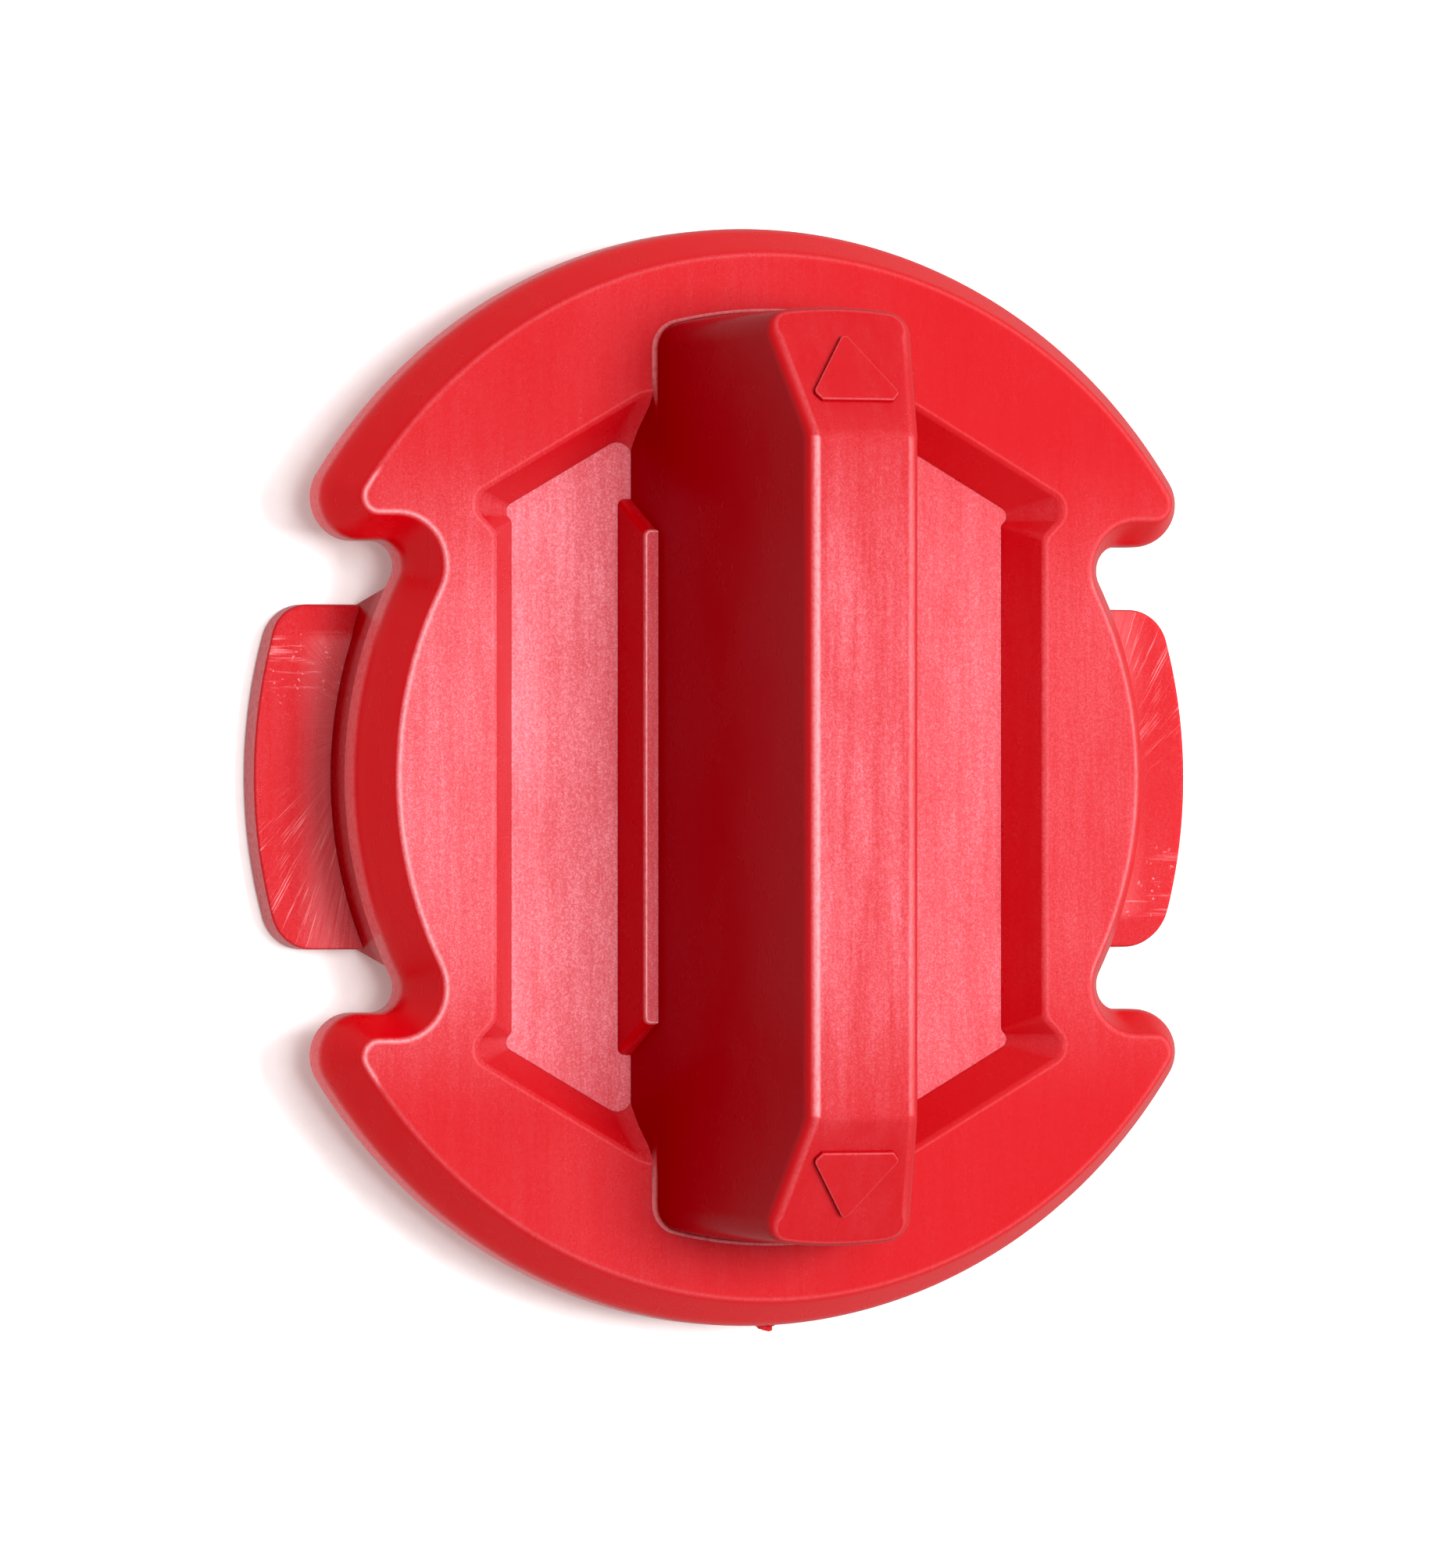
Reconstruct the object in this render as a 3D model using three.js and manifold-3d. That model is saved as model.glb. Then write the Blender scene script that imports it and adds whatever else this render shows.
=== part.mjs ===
// Quarter-turn drain plug: one injection-moulded part, laid out as its named sections.
// Millimetres, +Z up. Origin: centre of the plug, level with the underside of its locking tabs.
// X runs through the two locking tabs and Y runs along the grip.
import * as THREE from "three";
import { ConvexGeometry } from "three/addons/geometries/ConvexGeometry.js";
import { mergeVertices } from "three/addons/utils/BufferGeometryUtils.js";
import Module from "manifold-3d";

const wasm = await Module();
wasm.setup();

// ---- Driving dimensions -------------------------------------------------------------------
// Heights above the tabs' underside.
const TAB_TOP_Z = 2.2;
const RIM_BOTTOM_Z = 4.6;
const FLOOR_UNDERSIDE_Z = 5.2;
const PLATE_UNDERSIDE_Z = 7.7;
const FACE_Z = 10.2;
const LEDGE_TOP_Z = 10.5;
const GRIP_TOP_Z = 25.7;

// Flange outline, at its full width and at the crease round its top face.
const LOBE_RADIUS = 38.1;
const SIDE_RADIUS = 29.8;
const LOBE_EDGE_Y = 16.2;
const LOBE_TIP_RADIUS = 3.0;
const NOTCH_RADIUS = 1.7;
const CREASE_INSET = 1.8;
const CREASE_DROP = 3.0;
const WALL = 2.4;

// Finger pockets, one on each side of the grip.
const POCKET_FLOOR_X = 18.73;
const POCKET_FLOOR_Y = 18.75;
const POCKET_TOP_X = 20.8;
const POCKET_WALL_OFFSET = 2.25;
const POCKET_SLOPE = 0.56;
// Centre X, centre Y and radius of the corner relief, at the floor and at the face.
const EAR_FOOT = [17.9, 17.9, 1.0];
const EAR_TOP = [20.9, 18.75, 1.3];
const FLOOR_MARGIN = 2.4;

// Grip: a tapered hollow bar with sloping ends.
const GRIP_HALF_WIDTH = 8.85;
const GRIP_DRAFT = 0.31;
const GRIP_SHOULDER_Z = 24.6;
const GRIP_FLAT_HALF_WIDTH = 3.29;
const GRIP_FLAT_HALF_LENGTH = 23.3;
const GRIP_END_RADIUS = 32.2;
const GRIP_CORNER_CUT = 1.3;
const GRIP_END_TOP_Z = 20.9;
const GRIP_WALL = 2.4;
const CROWN_UNDERSIDE_Z = 23.2;
const CROWN_SPLIT_Z = 22.8;
const END_SPLIT_Y = 22.6;
const HOLLOW_HALF_LENGTH = 29.6;

// Raised arrows on the grip's sloping ends.
const ARROW_TIP_Y = 30.3;
const ARROW_BASE_Y = 25.6;
const ARROW_HALF_WIDTH = 3.2;
const ARROW_CORNER = 0.7;
const ARROW_HEIGHT = 0.4;

// Ledges along the foot of the grip.
const LEDGE_FOOT_X = 10.64;
const LEDGE_TOP_X = 9.7;
const LEDGE_FOOT_Y = 19.3;
const LEDGE_TOP_Y = 17.0;

// Hub walls and locking tabs.
const HUB_HALF_SPAN = 12.7;
const TAB_RADIUS = 35.4;
const TAB_HALF_SPAN = 11.9;
const TAB_CORNER_RADIUS = 3.0;
const TAB_RAMP_LENGTH = 2.4;
const TAB_RAMP_DROP = 0.7;

const ARC_STEP = THREE.MathUtils.degToRad(5);
const FAR = 60;

// ---- Solids -------------------------------------------------------------------------------
function toSolid(geometry) {
  const bare = geometry.clone();
  bare.deleteAttribute("normal");
  bare.deleteAttribute("uv");
  const merged = mergeVertices(bare, 1e-5);
  return new wasm.Manifold(new wasm.Mesh({
    numProp: 3,
    vertProperties: new Float32Array(merged.attributes.position.array),
    triVerts: new Uint32Array(merged.index.array),
  }));
}

function toGeometry(solid) {
  const mesh = solid.getMesh();
  const geometry = new THREE.BufferGeometry();
  geometry.setAttribute("position", new THREE.BufferAttribute(mesh.vertProperties, 3));
  geometry.setIndex(new THREE.BufferAttribute(mesh.triVerts, 1));
  const flat = geometry.toNonIndexed();
  flat.computeVertexNormals();
  return flat;
}

function extruded(points, zLow, zHigh) {
  const shape = new THREE.Shape(points.map(([x, y]) => new THREE.Vector2(x, y)));
  const geometry = new THREE.ExtrudeGeometry(shape, { depth: zHigh - zLow, bevelEnabled: false });
  geometry.translate(0, 0, zLow);
  return toSolid(geometry);
}

function hull(points) {
  return toSolid(new ConvexGeometry(points.map(([x, y, z]) => new THREE.Vector3(x, y, z))));
}

function block(xLow, xHigh, yLow, yHigh, zLow, zHigh) {
  const geometry = new THREE.BoxGeometry(xHigh - xLow, yHigh - yLow, zHigh - zLow);
  geometry.translate((xLow + xHigh) / 2, (yLow + yHigh) / 2, (zLow + zHigh) / 2);
  return toSolid(geometry);
}

const layer = (zLow, zHigh) => block(-FAR, FAR, -FAR, FAR, zLow, zHigh);
const slab = (yLow, yHigh) => block(-FAR, FAR, yLow, yHigh, -FAR, FAR);

// A copy of a point list mirrored into all four quadrants.
function inFourQuadrants(points) {
  return points.flatMap(([x, y, z]) => [[x, y, z], [-x, y, z], [x, -y, z], [-x, -y, z]]);
}

// ---- Outlines -----------------------------------------------------------------------------
// Points along an arc, both ends included.
function arc(cx, cy, radius, from, to) {
  const count = Math.max(1, Math.round(Math.abs(to - from) / ARC_STEP));
  return Array.from({ length: count + 1 }, (_, i) => {
    const angle = from + ((to - from) * i) / count;
    return [cx + radius * Math.cos(angle), cy + radius * Math.sin(angle)];
  });
}

// The flange outline, drawn `inset` inside its full width: two round lobes on a narrower disc.
function flangeOutline(inset) {
  const lobe = LOBE_RADIUS - inset;
  const side = SIDE_RADIUS - inset;
  const edgeY = LOBE_EDGE_Y + inset;
  const tip = Math.max(LOBE_TIP_RADIUS - inset, 0.4);
  const notch = NOTCH_RADIUS + inset;
  const tipX = Math.sqrt((lobe - tip) ** 2 - (edgeY + tip) ** 2);
  const tipAngle = Math.atan2(edgeY + tip, tipX);
  const notchX = Math.sqrt((side + notch) ** 2 - (edgeY - notch) ** 2);
  const notchAngle = Math.atan2(edgeY - notch, notchX);
  const quarter = [
    ...arc(0, 0, side, 0, notchAngle),
    ...arc(notchX, edgeY - notch, notch, notchAngle + Math.PI, Math.PI / 2).slice(1),
    ...arc(tipX, edgeY + tip, tip, -Math.PI / 2, tipAngle),
    ...arc(0, 0, lobe, tipAngle, Math.PI / 2).slice(1),
  ];
  const half = [...quarter, ...quarter.slice(1, -1).reverse().map(([x, y]) => [-x, y])];
  return [...half, [-side, 0], ...half.slice(1).reverse().map(([x, y]) => [x, -y])];
}

// The flange's outer body: upright below, leaning in to the crease above.
function flangeBody() {
  const shape = new THREE.Shape(
    flangeOutline(CREASE_INSET).map(([x, y]) => new THREE.Vector2(x, y)),
  );
  const geometry = new THREE.ExtrudeGeometry(shape, {
    depth: FACE_Z - CREASE_DROP - RIM_BOTTOM_Z,
    bevelThickness: CREASE_DROP,
    bevelSize: CREASE_INSET,
    bevelSegments: 1,
  });
  geometry.translate(0, 0, RIM_BOTTOM_Z);
  return toSolid(geometry);
}

// Height of the sloping edge line of a pocket at a given x, `offset` outside its floor.
function pocketEdgeY(x, offset) {
  const rise = offset * Math.hypot(1, POCKET_SLOPE);
  return POCKET_FLOOR_Y + (POCKET_FLOOR_X - x) * POCKET_SLOPE + rise;
}

// Half-width of the grip's outer faces at a height.
const gripHalfWidth = (z) => GRIP_HALF_WIDTH + GRIP_DRAFT * (FACE_Z - z);

// A pocket cutter: the sloping walls carried on a little past both faces of the plate.
function pocketCutter(sign) {
  const depth = FACE_Z - PLATE_UNDERSIDE_Z;
  const sections = [PLATE_UNDERSIDE_Z - 0.5, FACE_Z + 1].map((z) => {
    const t = (z - PLATE_UNDERSIDE_Z) / depth;
    const innerX = gripHalfWidth(z);
    const outerX = POCKET_FLOOR_X + (POCKET_TOP_X - POCKET_FLOOR_X) * t;
    const offset = POCKET_WALL_OFFSET * t;
    return [[innerX, pocketEdgeY(innerX, offset), z], [outerX, pocketEdgeY(outerX, offset), z]];
  });
  const corners = sections.flat().flatMap(([x, y, z]) => [[sign * x, y, z], [sign * x, -y, z]]);
  return hull(corners);
}

// The small rounded relief that bulges out of each outer corner of a pocket.
function pocketEars() {
  const depth = FACE_Z - PLATE_UNDERSIDE_Z;
  const rings = [PLATE_UNDERSIDE_Z, FACE_Z + 1].flatMap((z) => {
    const t = (z - PLATE_UNDERSIDE_Z) / depth;
    const [cx, cy, radius] = EAR_FOOT.map((foot, i) => foot + (EAR_TOP[i] - foot) * t);
    return arc(cx, cy, radius, 0, 2 * Math.PI * (1 - 1 / 16)).map(([x, y]) => [x, y, z]);
  });
  return [[1, 1], [1, -1], [-1, 1], [-1, -1]].map(
    ([sx, sy]) => hull(rings.map(([x, y, z]) => [sx * x, sy * y, z])),
  );
}

// ---- Flange -------------------------------------------------------------------------------
const body = flangeBody();
const hollowSlot = block(
  -(GRIP_HALF_WIDTH - GRIP_WALL), GRIP_HALF_WIDTH - GRIP_WALL,
  -HOLLOW_HALF_LENGTH, HOLLOW_HALF_LENGTH, 0, FACE_Z + 1,
);

function flangePlate() {
  let plate = body.intersect(layer(PLATE_UNDERSIDE_Z, FACE_Z)).subtract(hollowSlot);
  for (const cutter of [pocketCutter(1), pocketCutter(-1), ...pocketEars()]) {
    plate = plate.subtract(cutter);
  }
  return plate;
}

const hollowUnder = extruded(flangeOutline(WALL), -1, FACE_Z);

function rimSkirt(sign) {
  const half = sign > 0 ? slab(HUB_HALF_SPAN, FAR) : slab(-FAR, -HUB_HALF_SPAN);
  return body.intersect(layer(RIM_BOTTOM_Z, PLATE_UNDERSIDE_Z)).subtract(hollowUnder).intersect(half);
}

// A hub wall carries the flange's side straight down to the tab's underside.
function hubWall(sign) {
  const ring = extruded(flangeOutline(0), 0, PLATE_UNDERSIDE_Z).subtract(hollowUnder);
  return ring.intersect(block(
    sign > 0 ? 0 : -FAR, sign > 0 ? FAR : 0, -HUB_HALF_SPAN, HUB_HALF_SPAN, -1, FACE_Z,
  ));
}

function pocketFloor(sign) {
  const innerX = GRIP_HALF_WIDTH - GRIP_WALL;
  const outerX = POCKET_FLOOR_X + FLOOR_MARGIN;
  const corners = [
    [sign * innerX, pocketEdgeY(innerX, FLOOR_MARGIN)],
    [sign * outerX, pocketEdgeY(outerX, FLOOR_MARGIN)],
  ];
  const outline = [...corners, ...corners.slice().reverse().map(([x, y]) => [x, -y])];
  return extruded(outline, FLOOR_UNDERSIDE_Z, PLATE_UNDERSIDE_Z);
}

// ---- Grip ---------------------------------------------------------------------------------
// Height of the sloping end face at a distance along the grip.
function endSlopeZ(y) {
  const fall = (GRIP_TOP_Z - GRIP_END_TOP_Z) / (GRIP_END_RADIUS - GRIP_FLAT_HALF_LENGTH);
  return GRIP_TOP_Z - fall * (Math.abs(y) - GRIP_FLAT_HALF_LENGTH);
}

function gripOuter() {
  const reach = GRIP_END_RADIUS + 2;
  const section = hull(inFourQuadrants([
    [GRIP_HALF_WIDTH, reach, FACE_Z],
    [gripHalfWidth(GRIP_SHOULDER_Z), reach, GRIP_SHOULDER_Z],
    [GRIP_FLAT_HALF_WIDTH, reach, GRIP_TOP_Z],
  ]));
  const roof = hull(inFourQuadrants([
    [FAR, reach, 0],
    [FAR, reach, endSlopeZ(reach)],
    [FAR, GRIP_FLAT_HALF_LENGTH, GRIP_TOP_Z],
  ]));
  const cornerX = GRIP_HALF_WIDTH - GRIP_CORNER_CUT;
  const cornerAngle = Math.acos(cornerX / GRIP_END_RADIUS);
  const endArc = arc(0, 0, GRIP_END_RADIUS, cornerAngle, Math.PI - cornerAngle);
  const shoulderY = GRIP_END_RADIUS - 2.6;
  const plan = extruded([
    [GRIP_HALF_WIDTH, -shoulderY],
    [GRIP_HALF_WIDTH, shoulderY],
    ...endArc,
    [-GRIP_HALF_WIDTH, shoulderY],
    [-GRIP_HALF_WIDTH, -shoulderY],
    ...endArc.map(([x, y]) => [-x, -y]),
  ], 0, FAR);
  return section.intersect(roof).intersect(plan);
}

function gripHollow() {
  const innerTop = gripHalfWidth(CROWN_UNDERSIDE_Z) - GRIP_WALL;
  const roofDrop = GRIP_TOP_Z - CROWN_UNDERSIDE_Z + 0.3;
  return hull(inFourQuadrants([
    [gripHalfWidth(FACE_Z - 1) - GRIP_WALL, HOLLOW_HALF_LENGTH, FACE_Z - 1],
    [innerTop, GRIP_FLAT_HALF_LENGTH - 1, CROWN_UNDERSIDE_Z],
    [innerTop, HOLLOW_HALF_LENGTH, endSlopeZ(HOLLOW_HALF_LENGTH) - roofDrop],
  ]));
}

const grip = gripOuter().subtract(gripHollow());

function gripWall(sign) {
  return grip.intersect(block(
    sign > 0 ? 0 : -FAR, sign > 0 ? FAR : 0, -END_SPLIT_Y, END_SPLIT_Y, 0, CROWN_SPLIT_Z,
  ));
}

const gripCrown = () => grip.intersect(
  block(-FAR, FAR, -END_SPLIT_Y, END_SPLIT_Y, CROWN_SPLIT_Z, FAR),
);

function gripEnd(sign) {
  return grip.intersect(sign > 0 ? slab(END_SPLIT_Y, FAR) : slab(-FAR, -END_SPLIT_Y));
}

// A raised arrow, pointing out along the grip, lying on the sloping end face.
function arrow(sign) {
  const outline = [
    [0, ARROW_TIP_Y],
    [ARROW_HALF_WIDTH, ARROW_BASE_Y + ARROW_CORNER],
    [ARROW_HALF_WIDTH - ARROW_CORNER, ARROW_BASE_Y],
    [-(ARROW_HALF_WIDTH - ARROW_CORNER), ARROW_BASE_Y],
    [-ARROW_HALF_WIDTH, ARROW_BASE_Y + ARROW_CORNER],
  ];
  return hull(outline.flatMap(([x, y]) => [
    [x, sign * y, endSlopeZ(y)],
    [x, sign * y, endSlopeZ(y) + ARROW_HEIGHT],
  ]));
}

// A ledge leaning on the grip's foot, standing on the pocket floor.
function gripLedge(sign) {
  const corners = [
    [gripHalfWidth(PLATE_UNDERSIDE_Z), LEDGE_FOOT_Y, PLATE_UNDERSIDE_Z],
    [LEDGE_FOOT_X, LEDGE_FOOT_Y, PLATE_UNDERSIDE_Z],
    [gripHalfWidth(LEDGE_TOP_Z), LEDGE_TOP_Y, LEDGE_TOP_Z],
    [LEDGE_TOP_X, LEDGE_TOP_Y, LEDGE_TOP_Z],
  ];
  return hull(corners.flatMap(([x, y, z]) => [[sign * x, y, z], [sign * x, -y, z]]));
}

// ---- Locking tabs -------------------------------------------------------------------------
// The tab stands out from the hub wall; one end of its top is a lead-in ramp.
function lockingTab(sign) {
  const cornerY = TAB_HALF_SPAN - TAB_CORNER_RADIUS;
  const cornerX = Math.sqrt((TAB_RADIUS - TAB_CORNER_RADIUS) ** 2 - cornerY ** 2);
  const cornerAngle = Math.atan2(cornerY, cornerX);
  const upper = [
    ...arc(0, 0, TAB_RADIUS, 0, cornerAngle),
    ...arc(cornerX, cornerY, TAB_CORNER_RADIUS, cornerAngle, Math.PI / 2).slice(1),
    [SIDE_RADIUS - WALL - 3, TAB_HALF_SPAN],
  ];
  const lower = upper.slice(1).reverse().map(([x, y]) => [x, -y]);
  const blank = extruded([...lower, ...upper], 0, TAB_TOP_Z);
  const rampStart = -(TAB_HALF_SPAN - TAB_RAMP_LENGTH);
  const ramp = hull([0, FAR].flatMap((x) => [
    [x, rampStart, TAB_TOP_Z],
    [x, -TAB_HALF_SPAN - 1, TAB_TOP_Z - TAB_RAMP_DROP * (1 + 1 / TAB_RAMP_LENGTH)],
    [x, -TAB_HALF_SPAN - 1, TAB_TOP_Z + 1],
    [x, rampStart, TAB_TOP_Z + 1],
  ]));
  const tab = blank.subtract(extruded(flangeOutline(0), -1, FACE_Z)).subtract(ramp);
  return sign > 0 ? tab : tab.rotate([0, 0, 180]);
}

// ---- Scene graph --------------------------------------------------------------------------
const redPlastic = { color: 0xd8202a, roughness: 0.42, metalness: 0 };
const plug = new THREE.Group();
plug.name = "drain_plug";

function place(name, solid) {
  const mesh = new THREE.Mesh(toGeometry(solid), new THREE.MeshStandardMaterial(redPlastic));
  mesh.name = name;
  plug.add(mesh);
}

place("flange_plate", flangePlate());
for (const [side, sign] of [["north", 1], ["south", -1]]) {
  place(`rim_skirt_${side}`, rimSkirt(sign));
  place(`grip_end_${side}`, gripEnd(sign));
  place(`arrow_${side}`, arrow(sign));
}
for (const [side, sign] of [["east", 1], ["west", -1]]) {
  place(`pocket_floor_${side}`, pocketFloor(sign));
  place(`grip_wall_${side}`, gripWall(sign));
  place(`grip_ledge_${side}`, gripLedge(sign));
  place(`hub_wall_${side}`, hubWall(sign));
  place(`locking_tab_${side}`, lockingTab(sign));
}
place("grip_crown", gripCrown());

export default plug;
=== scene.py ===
"""Quarter-turn drain plug: the visual model of one red plastic moulding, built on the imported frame.

Shapes are worked out in millimetres in the row frame and become metres when a mesh is made.
X runs through the two locking tabs, Y runs along the grip, and the floor is at z = 0. Materials,
lights and the camera work in metres.
"""

import math

import bmesh
import bpy
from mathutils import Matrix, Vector


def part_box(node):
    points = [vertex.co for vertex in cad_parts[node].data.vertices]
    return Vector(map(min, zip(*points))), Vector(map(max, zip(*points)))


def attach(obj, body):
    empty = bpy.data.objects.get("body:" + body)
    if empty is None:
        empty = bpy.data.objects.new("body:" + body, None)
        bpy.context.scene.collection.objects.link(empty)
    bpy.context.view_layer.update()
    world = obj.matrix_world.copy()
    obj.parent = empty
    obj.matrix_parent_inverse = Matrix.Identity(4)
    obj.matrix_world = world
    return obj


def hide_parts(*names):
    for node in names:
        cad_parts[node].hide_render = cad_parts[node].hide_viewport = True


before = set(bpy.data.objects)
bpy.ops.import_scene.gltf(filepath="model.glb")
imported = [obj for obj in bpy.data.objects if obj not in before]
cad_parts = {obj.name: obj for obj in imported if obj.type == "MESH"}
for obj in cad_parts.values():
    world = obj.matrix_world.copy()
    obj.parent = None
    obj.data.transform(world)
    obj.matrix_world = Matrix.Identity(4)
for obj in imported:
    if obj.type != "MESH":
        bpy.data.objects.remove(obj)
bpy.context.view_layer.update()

MM_PER_METRE = 1000


# ---- Driving dimensions ---------------------------------------------------------------------
def edge(node, axis, high=True):
    """One side of a CAD node's box, in millimetres."""
    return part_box(node)[1 if high else 0]["xyz".index(axis)] * MM_PER_METRE


FACE_Z = edge("flange_plate", "z")
FLOOR_Z = edge("pocket_floor_west", "z")
SLAB_BOTTOM_Z = edge("pocket_floor_west", "z", high=False)
RIM_BOTTOM_Z = edge("rim_skirt_north", "z", high=False)
GRIP_TOP_Z = edge("grip_crown", "z")
LEDGE_TOP_Z = edge("grip_ledge_west", "z")
TAB_TOP_Z = edge("locking_tab_west", "z")
LOBE_RADIUS = edge("rim_skirt_north", "y")
SIDE_RADIUS = edge("hub_wall_east", "x")
TAB_RADIUS = edge("locking_tab_east", "x")
GRIP_END_RADIUS = edge("grip_end_north", "y")
GRIP_FACE_HALF_WIDTH = edge("grip_wall_east", "x")

# Flange outline and rim.
WALL = 2.4
PLATE_BOTTOM_Z = FLOOR_Z - 0.15
LOBE_EDGE_Y = 16.2
LOBE_TIP_RADIUS = 3.0
LEAST_TIP_RADIUS = 0.4
NOTCH_RADIUS = 1.7
CREASE_INSET = 1.8
CREASE_FILLET = 0.7
FACE_MARGIN = 1.3
RIM_SLOPE = 1.72
RIM_SHOULDER_RADIUS = 3.1
RIM_EDGE_RADIUS = 0.25

# Finger pockets, as pairs: (at the floor, at the face). The slanted edge passes through
# (POCKET_EDGE_X, POCKET_EDGE_Y), and the ear is the pocket's relieved outer corner.
POCKET_SIDE_X = (18.55, 20.8)
POCKET_EDGE_X = 15
POCKET_EDGE_Y = (20.84, 23.477)
POCKET_SLOPE = 0.561
EAR_CENTRE_X = (18.35, 21.06)
EAR_RADIUS = (0.6, 1.2)
EAR_END_ANGLE = -45
EAR_JOIN_RADIUS = (0.35, 0.9)
POCKET_SIDE_KNOT_Y = 8.0
INNER_CORNER_X = (10.65, 8.85)
INNER_CORNER_RADIUS = (1.2, 3.0)
INNER_CORNER_START = (180.0, 97.0)
POCKET_FILLET = 0.75
# Shares of the pocket's depth where its plain rows lie: just below the floor, and up the wall.
POCKET_PLAIN_ROWS = (-0.06, 0.35)
# How far out from the pocket the last row on the face lies.
POCKET_OUTER_ROW = 0.85

# Grip.
GRIP_DRAFT = 0.31
GRIP_CREASE_Y = 23.3
GRIP_CREASE_SOFTNESS = 0.35
GRIP_END_FALL = 0.539
GRIP_CORNER_RADIUS = 1.85
GRIP_SIDE_ROUND = 1.1
GRIP_END_ROUND = 0.62
GRIP_COLLAR_FROM_Y = 26.6
GRIP_FOOT_Z = FLOOR_Z - 0.08
GRIP_FOOT_HALF_WIDTH = GRIP_FACE_HALF_WIDTH + GRIP_DRAFT * (FACE_Z - GRIP_FOOT_Z)
GRIP_CROWN_WALL = 2.5
GRIP_FOOT_WALL = 3.15
GRIP_INNER_DRAFT = 0.26
GRIP_INNER_CORNER_RADIUS = 0.8
GRIP_INNER_ROUND = 0.4
SLOT_MARGIN_X = 3.0
SLOT_MARGIN_Y = 2.6
SLOT_CORNER_RADIUS = 1.0

# Ledges beside the grip.
LEDGE_TOP_X = (8.3, 9.7)
LEDGE_TOP_Y = 17.0
LEDGE_GRIP_OVERLAP = 0.7
LEDGE_FLOOR_OVERLAP = 0.1
LEDGE_INNER_RADIUS = 0.1
LEDGE_FOOT_RADIUS = 0.5
LEDGE_TOP_RADIUS = 0.4

# Arrows on the grip's sloping ends.
ARROW_TIP_Y = 30.3
ARROW_BASE_Y = 25.6
ARROW_HALF_WIDTH = 3.2
ARROW_BASE_CHAMFER = 0.55
ARROW_CORNER_RADII = (0.15, 0.15, 0.3, 0.4, 0.3)

# Locking tabs and hub walls.
TAB_HALF_SPAN = 11.9
TAB_CORNER_RADIUS = 3.0
TAB_ROOT_RADIUS = 28.6
TAB_RAMP_LENGTH = 2.4
TAB_RAMP_DROP = 0.7
TAB_RAMP_SOFTNESS = 0.3
TAB_EDGE_ROUND = 0.25
HUB_OUTER_RADIUS = SIDE_RADIUS - 0.03
HUB_INNER_RADIUS = SIDE_RADIUS - WALL
HUB_SPAN_AT_TAB = 12.39
HUB_SPAN_TAPER = 0.275
HUB_CORNER = 0.35
HUB_CORNER_MIDDLE = (0.12, 0.26)

# The torn stub on the south edge.
NUB_RADIUS = 0.42
NUB_SHAPE = (1.5, 0.75, 1.1)
NUB_CENTRE = (1.6, -LOBE_RADIUS - 0.02, 5.3)

# Painted highlight and painted reflection on each row of an edge, from 0 to 1. The rows with
# none at both ends of an edge keep it off the faces beside it.
CREASE_HIGHLIGHT = (0.0, 0.1, 0.4, 0.75, 0.3, 0.05, 0.0, 0.0, 0.0)
# The crease's painted highlight is strongest beside the west tab, where the light catches it.
CREASE_WEST_REACH_Y = 21
CREASE_EAST_REACH_Y = 14
CREASE_SHARES = {"west": 1.0, "east": 0.4, "lobes": 0.14}
CREASE_DEPTH = 1
# Painted reflection of the table, paling the rim's shoulder and its upright lower edge.
SHOULDER_PAINTED_REFLECTION = (0.0, 0.0, 0.0, 0.0, 0.02, 0.13, 0.28)
LOWER_RIM_PAINTED_REFLECTION = 0.34
# Painted highlight along the pocket's top edge.
POCKET_EDGE_HIGHLIGHT = (0.0, 0.0, 0.0, 0.0, 0.09, 0.0)
# Painted highlight along the grip's rounded edge: strongest on the west ridge, fainter past the
# crease, on the east side and round the ends.
GRIP_EDGE_HIGHLIGHT = (0.0, 0.0, 0.0, 0.0, 0.1, 0.45, 0.7, 0.0)
GRIP_HIGHLIGHT_PAST_CREASE = 0.15
GRIP_HIGHLIGHT_EAST = 0.3
GRIP_HIGHLIGHT_ROUND_ENDS = 0.12
# Painted highlight on the tab's edges.
TAB_EDGE_HIGHLIGHT = 0.32
TAB_UNDERSIDE_HIGHLIGHT = 0.2


# ---- Plane geometry -------------------------------------------------------------------------
def arc(cx, cy, radius, start, end, steps):
    """Points along an arc, both ends included. Angles in degrees."""
    angles = [math.radians(start + (end - start) * i / steps) for i in range(steps + 1)]
    return [(cx + radius * math.cos(a), cy + radius * math.sin(a)) for a in angles]


def rounded_corner(before, corner, after, radius, steps):
    """Points of the arc that rounds one corner of a polyline."""
    before, corner, after = Vector(before), Vector(corner), Vector(after)
    back = (before - corner).normalized()
    ahead = (after - corner).normalized()
    half = back.angle(ahead) / 2
    centre = corner + (back + ahead).normalized() * (radius / math.sin(half))
    start = corner + back * (radius / math.tan(half)) - centre
    end = corner + ahead * (radius / math.tan(half)) - centre
    turn = start.angle(end)
    points = []
    for i in range(steps + 1):
        t = i / steps
        mix = start * math.sin((1 - t) * turn) + end * math.sin(t * turn)
        points.append(centre + mix / math.sin(turn))
    return points


def rounded_polygon(corners, radii, steps=6):
    """A closed polygon with every corner rounded."""
    count = len(corners)
    points = []
    for i, corner in enumerate(corners):
        points += rounded_corner(corners[i - 1], corner, corners[(i + 1) % count], radii[i], steps)
    return [tuple(p) for p in points]


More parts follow.
